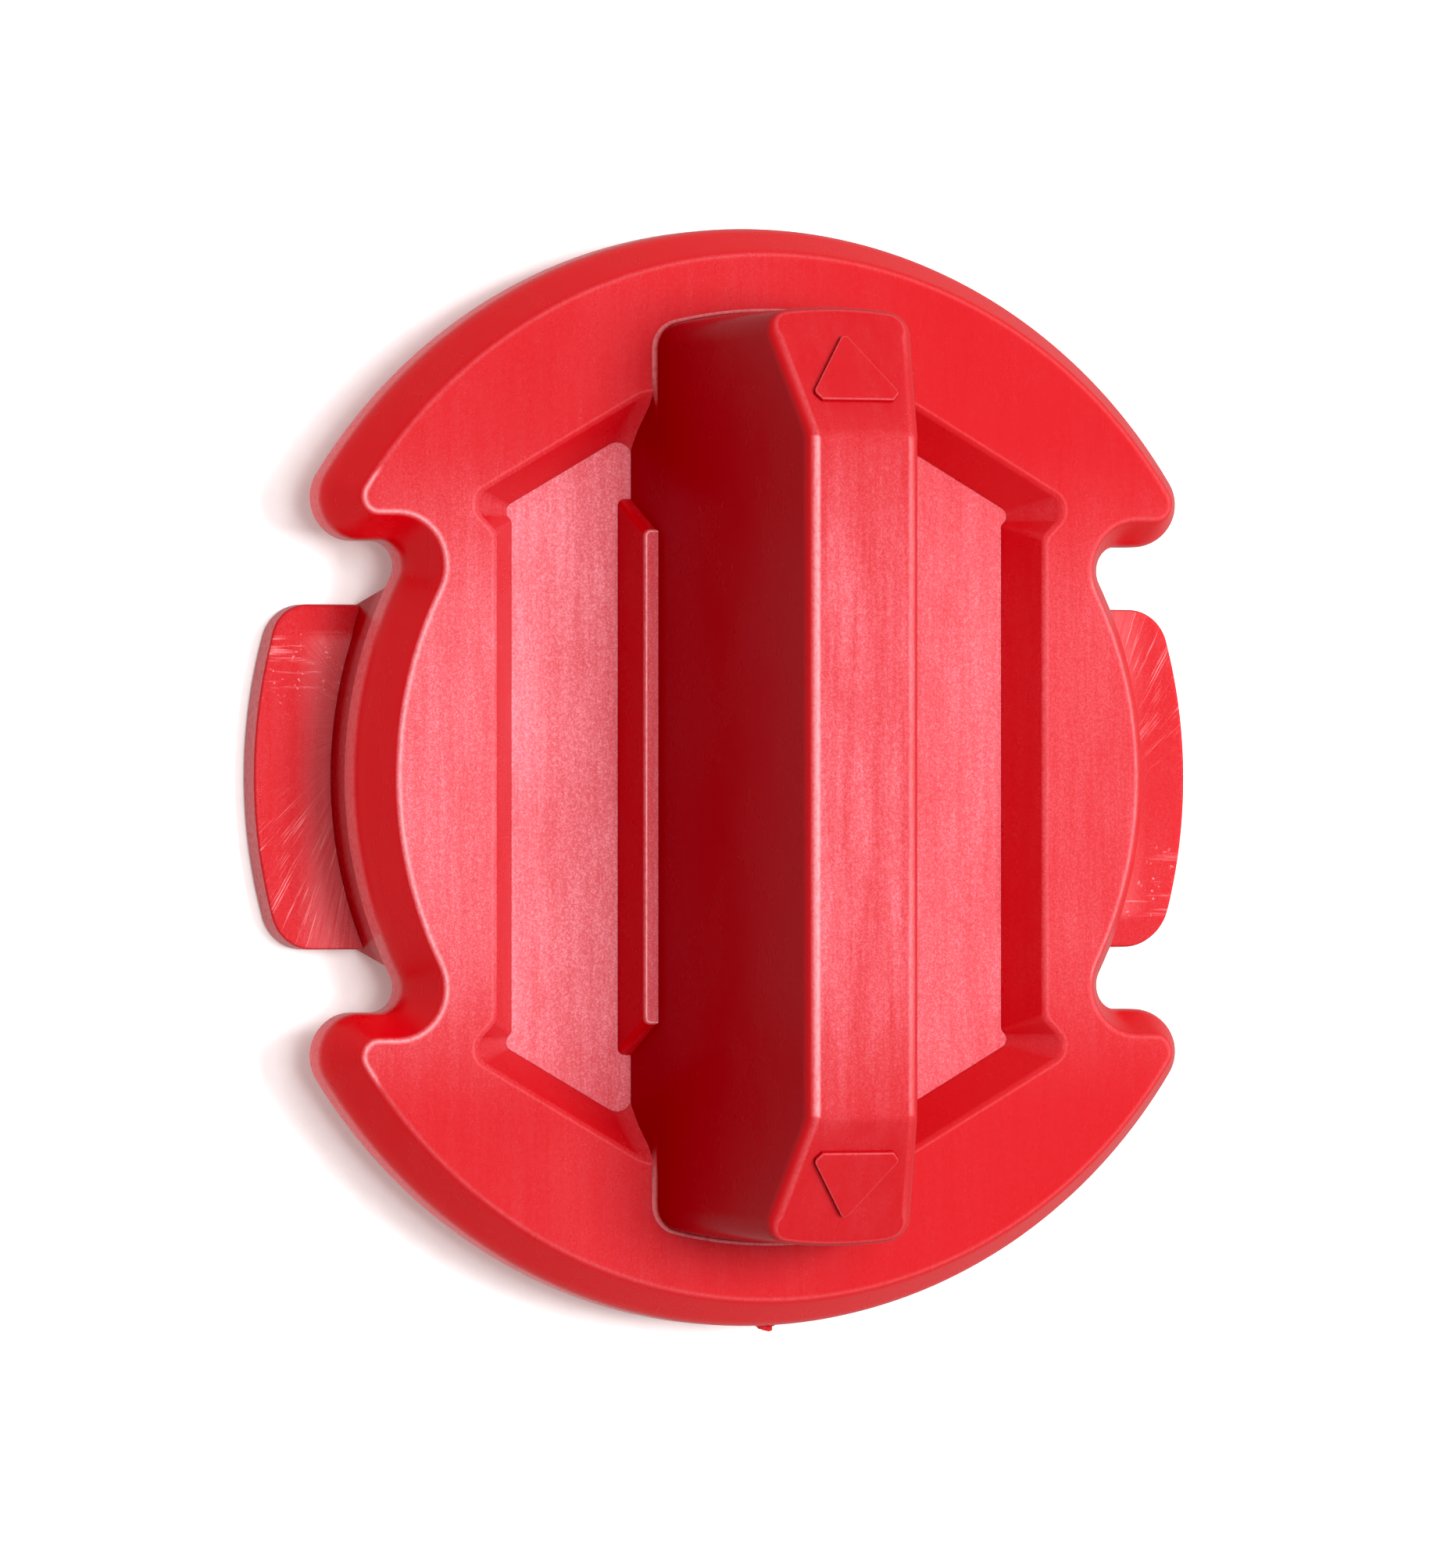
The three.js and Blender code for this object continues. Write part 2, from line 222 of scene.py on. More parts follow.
def shrunk(points, amount):
    """A closed anticlockwise outline moved inwards along its own normals."""
    count = len(points)
    moved = []
    for i, (x, y) in enumerate(points):
        (ax, ay), (bx, by) = points[i - 1], points[(i + 1) % count]
        length = math.hypot(bx - ax, by - ay)
        moved.append((x - amount * (by - ay) / length, y + amount * (bx - ax) / length))
    return moved


def between(start, end, shares):
    """Points on the straight line from start to end, at the given shares of its length."""
    return [tuple(Vector(start).lerp(end, share)) for share in shares]


def mixed(pair, t):
    """A value between those at the pocket's floor (t = 0) and at the face (t = 1)."""
    return pair[0] + (pair[1] - pair[0]) * t


def creased(height, past, fall, softness):
    """Height of a flat top that starts to fall at a softened crease, `past` beyond it."""
    if past <= -softness:
        return height
    if past >= softness:
        return height - fall * past
    return height - fall * (past + softness) ** 2 / (4 * softness)


def turned(points, sign):
    """The points as they are for the east or north side, half a turn round for the other."""
    return [(sign * x, sign * y, z) for x, y, z in points]


# ---- Meshes ---------------------------------------------------------------------------------
def painted_light_layer(bm):
    """The value on each vertex that tells the material how much painted highlight and painted
    reflection pale it.
    """
    layers = bm.verts.layers.float
    return layers.get("painted_edge_light") or layers.new("painted_edge_light")


def ring(bm, points, painted_light=0.0):
    """A row of vertices from points in millimetres.

    The painted highlight is one number for the whole row or a list with one for each point.
    """
    layer = painted_light_layer(bm)
    verts = [bm.verts.new(Vector(p) / MM_PER_METRE) for p in points]
    for i, vert in enumerate(verts):
        vert[layer] = painted_light[i] if isinstance(painted_light, list) else painted_light
    return verts


def bridge(bm, lower, upper, closed=True):
    """Quads between two rows of vertices."""
    count = len(lower)
    for i in range(count if closed else count - 1):
        j = (i + 1) % count
        bm.faces.new((lower[i], lower[j], upper[j], upper[i]))


def bridge_all(bm, rows, closed=True):
    """Quads between each row of vertices and the next."""
    for lower, upper in zip(rows, rows[1:]):
        bridge(bm, lower, upper, closed)


def ring_edges(bm, verts):
    """The edges that close a row of vertices into a ring."""
    return [bm.edges.get((verts[i - 1], verts[i])) for i in range(len(verts))]


def fill(bm, *rings):
    """Triangles over the flat area between an outer ring and the holes in it."""
    edges = [e for verts in rings for e in ring_edges(bm, verts)]
    bmesh.ops.triangle_fill(bm, use_beauty=True, edges=edges)


def finish_piece(name, bm, material, nodes, sharp_degrees=38):
    """Turns the bmesh into a smooth-shaded piece on the root body that stands for CAD nodes."""
    bmesh.ops.recalc_face_normals(bm, faces=bm.faces)
    mesh = bpy.data.meshes.new(name)
    bm.to_mesh(mesh)
    bm.free()
    mesh.shade_smooth()
    mesh.set_sharp_from_angle(angle=math.radians(sharp_degrees))
    mesh.materials.append(material)
    piece = bpy.data.objects.new(name, mesh)
    bpy.context.collection.objects.link(piece)
    weighted = piece.modifiers.new("weighted normals", "WEIGHTED_NORMAL")
    weighted.keep_sharp = True
    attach(piece, "root")
    if nodes:
        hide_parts(*nodes)


def loft_rings(name, stack, material, nodes):
    """A closed piece through a stack of (ring of 3-D points, painted highlight), capped at both ends.
    """
    bm = bmesh.new()
    rows = [ring(bm, points, painted_light) for points, painted_light in stack]
    bridge_all(bm, rows)
    bm.faces.new(rows[0])
    bm.faces.new(rows[-1])
    finish_piece(name, bm, material, nodes)


def loft(name, levels, sign, material, nodes):
    """A closed piece through a stack of levels, each (outline, z, painted highlight), capped at both
    ends.
    """
    stack = []
    for outline, z, painted_light in levels:
        stack.append((turned([(x, y, z) for x, y in outline], sign), painted_light))
    loft_rings(name, stack, material, nodes)


# ---- Materials ------------------------------------------------------------------------------
class Graph:
    """A small helper that adds shader nodes to one material."""

    def __init__(self, name):
        self.material = bpy.data.materials.new(name)
        self.material.use_nodes = True
        self.nodes = self.material.node_tree.nodes
        self.links = self.material.node_tree.links
        self.shader = self.nodes["Principled BSDF"]

    def add(self, kind, settings=None, **inputs):
        """A node with its properties set, and its inputs set or linked by name or _number."""
        node = self.nodes.new(kind)
        for key, value in (settings or {}).items():
            setattr(node, key, value)
        for key, value in inputs.items():
            self.feed(node.inputs[int(key[1:]) if key.startswith("_") else key], value)
        return node

    def feed(self, socket, value):
        """Links a value that varies to a socket, or sets a plain one on it."""
        if isinstance(value, bpy.types.NodeSocket):
            self.links.new(value, socket)
        else:
            socket.default_value = value

    def shade(self, **values):
        """Sets or links the shader's own sockets, with _ for each space in a name."""
        for key, value in values.items():
            self.feed(self.shader.inputs[key.replace("_", " ")], value)
        return self.material

    def place(self):
        """Where the surface is on its piece, in metres."""
        return self.add("ShaderNodeTexCoord").outputs["Object"]

    def split(self, vector):
        """The X, Y and Z of a vector."""
        return self.add("ShaderNodeSeparateXYZ", None, Vector=vector).outputs

    def maths(self, operation, a, b=0.0):
        """One operation on one or two values."""
        return self.add("ShaderNodeMath", {"operation": operation}, _0=a, _1=b).outputs[0]

    def product(self, *values):
        """All the values multiplied together."""
        result = values[0]
        for value in values[1:]:
            result = self.maths("MULTIPLY", result, value)
        return result

    def ramp(self, value, low, high, to_low=0.0, to_high=1.0):
        """The value moved smoothly from one range to another, held at both ends."""
        settings = {"interpolation_type": "SMOOTHSTEP"}
        node = self.add("ShaderNodeMapRange", settings, _0=value, _1=low, _2=high, _3=to_low,
                        _4=to_high)
        return node.outputs[0]

    def vary(self, noise, least, most, low=0.3, high=0.7):
        """A noise spread out between two values; low and high are the part of it that counts."""
        return self.ramp(noise, low, high, least, most)

    def noise(self, place, scale, detail, roughness, stretch=(1, 1, 1)):
        """Noise at a size given in cycles per metre, drawn out along an axis."""
        mapping = self.add("ShaderNodeMapping", None, Vector=place, Scale=stretch)
        texture = self.add("ShaderNodeTexNoise", None, Vector=mapping.outputs[0], Scale=scale,
                           Detail=detail, Roughness=roughness)
        return texture.outputs[0]

    def bump(self, height, strength, distance):
        """A normal tilted by a height, for detail too fine to be modelled."""
        return self.add("ShaderNodeBump", None, Strength=strength, Distance=distance,
                        Height=height).outputs[0]

    def blend(self, factor, first, second):
        """A colour between two."""
        node = self.add("ShaderNodeMix", {"data_type": "RGBA"}, _0=factor, _6=first, _7=second)
        return node.outputs[2]


DEEP_RED = (0.43, 0.0065, 0.0095, 1)
# Painted light: the rim's steep sides are painted a brighter red than the face.
RIM_RED_PAINTED_LIGHTER = (0.55, 0.0065, 0.0095, 1)
GRIP_TOP_RED = (0.40, 0.0065, 0.0095, 1)
# Painted shade: the grip's and the tabs' steep sides are painted a darker red than their tops.
GRIP_SIDE_RED_PAINTED_SHADE = (0.29, 0.0065, 0.0095, 1)
TAB_SIDE_RED_PAINTED_SHADE = (0.34, 0.0065, 0.0095, 1)
# Painted sheen of the soft light on flat tops, laid over real rub streaks.
SHEEN_AND_RUB_RED = (0.68, 0.215, 0.255, 1)
# Painted highlight on edges; also the colour of real scratches and rub marks on the tabs, and of a
# painted sheen by their roots.
HIGHLIGHT_AND_SCRATCH_RED = (0.85, 0.36, 0.38, 1)

# Noises: (cycles per metre, detail, roughness, stretch). A small second stretch draws one out
# along the grip; on the tabs' scratches it is along the fan instead.
STREAKS = (1100, 5, 0.65, (2.6, 0.14, 1))
DRAG_MARKS = (520, 6, 0.7, (1.3, 0.07, 1))
PATCHES = (70, 5, 0.65, (1.5, 0.6, 1))
GRAIN = (5200, 2, 0.5, (1, 0.55, 1))
SPECKS = (8500, 2, 0.6)
SATIN = (260, 4, 0.6, (1.5, 0.5, 1))
PEEL = (1500, 2, 0.5)
TAB_SCRATCHES = (3600, 3, 0.65, (1, 0.05, 1))
TAB_RUBS = (900, 4, 0.7, (0.12, 1.5, 1))
TAB_PITS = (3000, 1, 0.5)
TABLE_GRAIN = (900, 3, 0.55)

# How the painted sheen over the rub, and the red with its painted side shade and light, are laid out
# on every piece.
EAST_FADE = (-0.008, 0.012)  # X, in metres, between which the painted sheen and rub falls to its east share
FULL_SHEEN_AND_RUB_SHARE = 0.4  # the part of its reach along the grip where the painted sheen and rub is whole
FLAT_SPREAD = 0.25  # how far past flat_from an upward normal has the whole painted sheen and rub
SIDE_TO_TOP = (0.3, 0.8)  # upward normals between which the painted side colour turns into red
SHEEN_AND_RUB_ROUGHNESS = 0.4  # how much rougher the whole painted sheen and rub makes the plastic

# Where the marks and the painted root sheen on a tab are, in metres; along the tab, its middle is 0
# and its ramp is below 0.
FAN_CENTRE = (0.0265, -0.0038)  # the point that the scratches fan out from
FAN_SPREAD = 0.02  # stands for one radian of the fan
SCRATCHED_ALONG = (0.0, 0.004)
RUBBED_ALONG = (-0.0035, -0.0075)
RAMP_ALONG = (-0.0102, -0.0092)
ROOT_SHEEN_OUTWARDS = (0.0062, 0.0036)


def red_plastic(name, sheen_and_rub_level, reach, east_share=0.6, far_share=0.12, flat_from=0.6,
                red=DEEP_RED, painted_side_red=DEEP_RED, gloss=0.3, glow=0.3, drag=0.1, marks_and_sheen=None):
    """Satin moulded plastic with fine grain along the grip.

    Flat tops, whose upward normal passes flat_from, carry a painted whitish sheen, where they
    would mirror the soft light, laid over streaky rub marks: the sheen's level in the middle,
    falling to far_share of that by `reach` metres along the grip, and to east_share of it on
    the east side. `drag` is how strongly the sheen and rub is streaked. Tops are `red` and steep
    sides the painted side colour, painted side shade on the grip and tabs and painted side light
    on the rim; edges are paled by a painted highlight kept on each vertex. `gloss` is how much
    the plastic mirrors, `glow` is how much light runs through thin walls, and the marks function
    adds scratches and a painted sheen of its own.
    """
    g = Graph(name)
    place = g.place()
    x, y, _ = g.split(place)
    upward = g.split(g.add("ShaderNodeNewGeometry").outputs["Normal"])["Z"]
    flat = g.ramp(upward, flat_from, flat_from + FLAT_SPREAD)
    along = g.maths("ABSOLUTE", y)
    level = g.ramp(along, reach * FULL_SHEEN_AND_RUB_SHARE, reach, sheen_and_rub_level, sheen_and_rub_level * far_share)
    streaks = g.noise(place, *STREAKS)
    grain = g.noise(place, *GRAIN)
    # Painted sheen: a whitish haze where flat tops would mirror the soft light, streaked and patched
    # like rub marks.
    sheen_and_rub = g.product(flat,
                    g.product(level, g.ramp(x, *EAST_FADE, 1.0, east_share)),
                    g.vary(streaks, 0.84, 1.12),
                    g.vary(g.noise(place, *DRAG_MARKS), 1 - drag, 1 + drag, 0.35, 0.65),
                    g.vary(g.noise(place, *PATCHES), 0.72, 1.25),
                    g.vary(grain, 0.85, 1.15),
                    g.vary(g.noise(place, *SPECKS), 0.8, 1.6, 0.42, 0.68))
    # Painted highlight and painted reflection along edges, from the value on each vertex; the tabs
    # add real scratches.
    lightened = g.add("ShaderNodeAttribute", {"attribute_name": "painted_edge_light"}).outputs["Fac"]
    lightened = g.product(lightened, g.vary(grain, 0.55, 1.0, 0.25, 0.6))
    if marks_and_sheen:
        lightened = g.maths("MAXIMUM", lightened, g.product(marks_and_sheen(g, place), flat))
    # Painted shade and light by tilt: steep sides take the painted side colour, darker on the grip
    # and tabs, brighter on the rim.
    plain = g.blend(g.ramp(upward, *SIDE_TO_TOP), painted_side_red, red)
    satin = g.vary(g.noise(place, *SATIN), 0.22, 0.30)
    height = g.maths("ADD", g.product(g.noise(place, *PEEL), 0.5), g.product(streaks, 0.5))
    return g.shade(
        Base_Color=g.blend(lightened, g.blend(sheen_and_rub, plain, SHEEN_AND_RUB_RED), HIGHLIGHT_AND_SCRATCH_RED),
        Roughness=g.maths("ADD", satin, g.product(sheen_and_rub, SHEEN_AND_RUB_ROUGHNESS)),
        Normal=g.bump(height, strength=0.16, distance=0.00005),
        Specular_IOR_Level=gloss,
        Subsurface_Weight=glow,
        Subsurface_Radius=(1.0, 0.08, 0.08),
        Subsurface_Scale=0.0016,
    )


def tab_scuffs_and_root_sheen(g, place):
    """Marks of use on a tab: scratches that fan out at one end, rub marks and pits at the other, and
    a painted sheen beside the root.

    The east tab is the west one turned half a turn, so the marks are laid out the same way.
    """
    fan_x, fan_y = FAN_CENTRE
    x, y, _ = g.split(place)
    along = g.product(y, g.maths("SIGN", x))
    out = g.maths("SUBTRACT", g.maths("ABSOLUTE", x), fan_x)
    across = g.maths("SUBTRACT", along, fan_y)
    turn = g.maths("ARCTAN2", across, out)
    squares = g.maths("ADD", g.maths("POWER", out, 2.0), g.maths("POWER", across, 2.0))
    polar = g.add("ShaderNodeCombineXYZ", None, X=g.product(turn, FAN_SPREAD),
                  Y=g.maths("SQRT", squares)).outputs[0]
    lines = g.noise(polar, *TAB_SCRATCHES)
    scratches = g.product(g.vary(lines, 0.0, 0.6, 0.55, 0.72), g.ramp(along, *SCRATCHED_ALONG))
    rubs = g.vary(g.noise(place, *TAB_RUBS), 0.0, 0.5, 0.55, 0.72)
    pits = g.vary(g.noise(place, *TAB_PITS), 0.0, 0.5, 0.66, 0.74)
    rubbed_end = g.ramp(along, *RUBBED_ALONG)
    clear_of_ramp = g.ramp(along, *RAMP_ALONG)
    marks = g.product(g.maths("MAXIMUM", rubs, pits), g.product(rubbed_end, clear_of_ramp))
    # Painted sheen beside the root.
    root_sheen = g.product(g.ramp(out, *ROOT_SHEEN_OUTWARDS, 0.0, 0.2), g.vary(lines, 0.4, 1.0))
    root_sheen = g.product(root_sheen, clear_of_ramp)
    return g.maths("MAXIMUM", g.maths("MAXIMUM", scratches, marks), root_sheen)


def pale_floor():
    """A pale tabletop whose faint warm glow keeps the shadows light."""
    g = Graph("pale_tabletop")
    grain = g.noise(g.place(), *TABLE_GRAIN)
    tone = g.vary(grain, 0.86, 0.9)
    tint = g.add("ShaderNodeCombineColor", None, Red=tone, Green=tone, Blue=tone)
    return g.shade(
        Base_Color=tint.outputs[0],
        Normal=g.bump(grain, strength=0.3, distance=0.0001),
        Roughness=0.6,
        Emission_Color=(1, 0.84, 0.80, 1),
        Emission_Strength=0.20,
    )


# Each material's painted sheen is set below, with painted side light on the flange's rim and painted
# side shade on the grip and tabs.
FLANGE_PLASTIC = red_plastic("red_plastic_flange", sheen_and_rub_level=0.37, reach=0.024, east_share=0.42,
                             far_share=0.15, painted_side_red=RIM_RED_PAINTED_LIGHTER, gloss=0.2)
POCKET_PLASTIC = red_plastic("red_plastic_pocket", sheen_and_rub_level=0.58, reach=0.036)
LEDGE_PLASTIC = red_plastic("red_plastic_ledge", sheen_and_rub_level=0.34, reach=0.036)
GRIP_PLASTIC = red_plastic("red_plastic_grip", sheen_and_rub_level=0.32, reach=0.028, east_share=1.0,
                           far_share=0.14, flat_from=0.74, red=GRIP_TOP_RED,
                           painted_side_red=GRIP_SIDE_RED_PAINTED_SHADE, gloss=0.2, glow=0.2, drag=0.3)
TAB_PLASTIC = red_plastic("red_plastic_tab", sheen_and_rub_level=0.07, reach=0.030, east_share=1.0,
                          painted_side_red=TAB_SIDE_RED_PAINTED_SHADE, gloss=0.2, marks_and_sheen=tab_scuffs_and_root_sheen)


# ---- Flange ---------------------------------------------------------------------------------
def flange_outline(inset):
    """The outline drawn inside its full width: two round lobes on a narrower disc."""
    side_steps, notch_steps, tip_steps, lobe_steps = 16, 14, 16, 40
    lobe = LOBE_RADIUS - inset
    side = SIDE_RADIUS - inset
    edge_y = LOBE_EDGE_Y + inset
    tip = max(LOBE_TIP_RADIUS - inset, LEAST_TIP_RADIUS)
    notch = NOTCH_RADIUS + inset
    tip_x = math.sqrt((lobe - tip) ** 2 - (edge_y + tip) ** 2)
    tip_angle = math.degrees(math.atan2(edge_y + tip, tip_x))
    notch_x = math.sqrt((side + notch) ** 2 - (edge_y - notch) ** 2)
    notch_angle = math.degrees(math.atan2(edge_y - notch, notch_x))
    quarter = arc(0, 0, side, 0, notch_angle, side_steps)
    quarter += arc(notch_x, edge_y - notch, notch, notch_angle + 180, 90, notch_steps)[1:]
    quarter += between(quarter[-1], (tip_x, edge_y), (0.33, 0.67))
    quarter += arc(tip_x, edge_y + tip, tip, -90, tip_angle, tip_steps)
    quarter += arc(0, 0, lobe, tip_angle, 90, lobe_steps)[1:]
    half = quarter + [(-x, y) for x, y in quarter[1:-1][::-1]]
    return half + [(-side, 0)] + [(x, -y) for x, y in half[1:][::-1]]


def crease_share(x, y):
    """How much of the crease's painted highlight shows: most beside the west tab, where the light
    catches it, little round the lobes.
    """
    if x < 0 and abs(y) < CREASE_WEST_REACH_Y:
        return CREASE_SHARES["west"]
    if x > 0 and abs(y) < CREASE_EAST_REACH_Y:
        return CREASE_SHARES["east"]
    return CREASE_SHARES["lobes"]


def rim_profile():
    """(inset, z, painted light) from inside the crease, down the rim, to the underside of the plate.

    The crease carries a painted highlight, and the shoulder and the upright lower edge a painted
    reflection of the table.
    """
    start, crease = (CREASE_INSET + FACE_MARGIN, FACE_Z), (CREASE_INSET, FACE_Z)
    foot = (0, FACE_Z - CREASE_INSET * RIM_SLOPE)
    heel, inside, end = (0, RIM_BOTTOM_Z), (WALL, RIM_BOTTOM_Z), (WALL, PLATE_BOTTOM_Z)
    bend = rounded_corner(start, crease, foot, CREASE_FILLET, len(CREASE_HIGHLIGHT) - 1)
    shoulder = rounded_corner(crease, foot, heel, RIM_SHOULDER_RADIUS, len(SHOULDER_PAINTED_REFLECTION) - 1)
    outer_edge = rounded_corner(foot, heel, inside, RIM_EDGE_RADIUS, 3)
    inner_edge = rounded_corner(heel, inside, end, RIM_EDGE_RADIUS, 3)
    profile = [(*start, 0.0), (bend[0].x + 0.1, FACE_Z, 0.0)]
    profile += [(*p, painted_light) for p, painted_light in zip(bend, CREASE_HIGHLIGHT)]
    profile += [(*bend[-1].lerp(shoulder[0], 0.15), 0.0)]
    profile += [(*p, painted_light) for p, painted_light in zip(shoulder, SHOULDER_PAINTED_REFLECTION)]
    profile += [(*p, LOWER_RIM_PAINTED_REFLECTION) for p in outer_edge]
    profile += [(*p, 0.0) for p in inner_edge]
    return profile + [(*end, 0.0)]


def slanted_edge_y(x, t):
    """Where the pocket's slanted edge is at an x."""
    return mixed(POCKET_EDGE_Y, t) - POCKET_SLOPE * (x - POCKET_EDGE_X)


def pocket_outline(t, grow=0.0):
    """The east pocket's outline at a height: t = 0 at the floor, 1 at the face.

    An inner corner, the slanted edge, the ear, and a straight outer side; then its mirror image.
    """
    stretch = math.hypot(1, POCKET_SLOPE)
    line_angle = math.degrees(math.atan2(1, POCKET_SLOPE))
    inner_x, inner = mixed(INNER_CORNER_X, t), mixed(INNER_CORNER_RADIUS, t)
    inner_y = slanted_edge_y(inner_x, t) - inner * stretch
    ear_x, ear = mixed(EAR_CENTRE_X, t), mixed(EAR_RADIUS, t)
    ear_y = slanted_edge_y(ear_x, t) - ear * stretch
    quarter = arc(inner_x, inner_y, inner + grow, mixed(INNER_CORNER_START, t), line_angle, 10)
    ear_arc = arc(ear_x, ear_y, ear + grow, line_angle, EAR_END_ANGLE, 12)
    quarter += between(quarter[-1], ear_arc[0], (0.25, 0.5, 0.75))
    quarter += ear_arc
    ear_end_x, ear_end_y = ear_arc[-1]
    side_x = mixed(POCKET_SIDE_X, t) + grow
    meet = (side_x, ear_end_y - (ear_end_x - side_x))
    join = rounded_corner(ear_arc[-1], meet, (side_x, 0), mixed(EAR_JOIN_RADIUS, t), 6)
    quarter += [tuple(p) for p in join]
    quarter.append((side_x, POCKET_SIDE_KNOT_Y))
    return quarter + [(x, -y) for x, y in quarter[::-1]]


def pocket_rings():
    """(t, growth, z, painted highlight) from just under the pocket's floor up over the rounded edge.
    """
    depth = FACE_Z - FLOOR_Z
    spread = POCKET_SIDE_X[1] - POCKET_SIDE_X[0]
    rounded = rounded_corner((-spread, -depth), (0, 0), (1, 0), POCKET_FILLET,
                             len(POCKET_EDGE_HIGHLIGHT) - 1)
    rings = []
    for t in POCKET_PLAIN_ROWS:
        rings.append((t, 0.0, FLOOR_Z + t * depth, 0.0))
    for (offset, drop), painted_light in zip(rounded, POCKET_EDGE_HIGHLIGHT):
        rings.append((1 + drop / depth, offset - drop * spread / depth, FACE_Z + drop, painted_light))
    for grow in (rounded[-1].x + 0.1, POCKET_OUTER_ROW):
        rings.append((1.0, grow, FACE_Z, 0.0))
    return rings


def slot_outline():
    """The opening under the grip, inside the grip's foot."""
    half_x, half_y = GRIP_FOOT_HALF_WIDTH - SLOT_MARGIN_X, GRIP_END_RADIUS - SLOT_MARGIN_Y
    corners = [(half_x, -half_y), (half_x, half_y), (-half_x, half_y), (-half_x, -half_y)]
    return rounded_polygon(corners, [SLOT_CORNER_RADIUS] * 4, 4)


def make_flange():
    """The plate with its rim outside, and the two pockets and the slot cut through it."""
    bm = bmesh.new()
    rim = []
    for inset, z, painted_light in rim_profile():
        flat = flange_outline(inset)
        # The crease's painted highlight is faded by where it lies round the outline.
        on_crease = z > FACE_Z - CREASE_DEPTH
        faded = [painted_light * (crease_share(x, y) if on_crease else 1.0) for x, y in flat]
        rim.append(ring(bm, [(x, y, z) for x, y in flat], faded))
    bridge_all(bm, rim)
    tops, bottoms = [rim[0]], [rim[-1]]
    for sign in (1, -1):
        rows = []
        for t, grow, z, painted_light in pocket_rings():
            points = [(x, y, z) for x, y in pocket_outline(t, grow)]
            rows.append(ring(bm, turned(points, sign), painted_light))
        bridge_all(bm, rows)
        tops.append(rows[-1])
        bottoms.append(rows[0])
    slot = [ring(bm, [(x, y, z) for x, y in slot_outline()]) for z in (PLATE_BOTTOM_Z, FACE_Z)]
    bridge_all(bm, slot)
    tops.append(slot[1])
    bottoms.append(slot[0])
    fill(bm, *tops)
    fill(bm, *bottoms)
    finish_piece("moulded_flange", bm, FLANGE_PLASTIC,
                 ["flange_plate", "rim_skirt_north", "rim_skirt_south"])


def make_pocket_floor(side, sign):
    """The slab under one pocket; its top is the pocket's floor."""
    margin = WALL * math.hypot(1, POCKET_SLOPE)
    inner_x = GRIP_FOOT_HALF_WIDTH - GRIP_FOOT_WALL
    outer_x = edge("pocket_floor_east", "x")
    inner_y = edge("pocket_floor_east", "y")
    outer_y = slanted_edge_y(outer_x, 0) + margin
    corners = [(inner_x, -inner_y), (outer_x, -outer_y), (outer_x, outer_y), (inner_x, inner_y)]
    outline = rounded_polygon(corners, [0.3, 1.2, 1.2, 0.3])
    # The underside's edge is rounded.
    levels = [(shrunk(outline, 0.3), SLAB_BOTTOM_Z, 0.0),
              (shrunk(outline, 0.1), SLAB_BOTTOM_Z + 0.08, 0.0),
              (outline, SLAB_BOTTOM_Z + 0.3, 0.0),
              (outline, FLOOR_Z, 0.0)]
    loft(f"moulded_pocket_floor_{side}", levels, sign, POCKET_PLASTIC, [f"pocket_floor_{side}"])


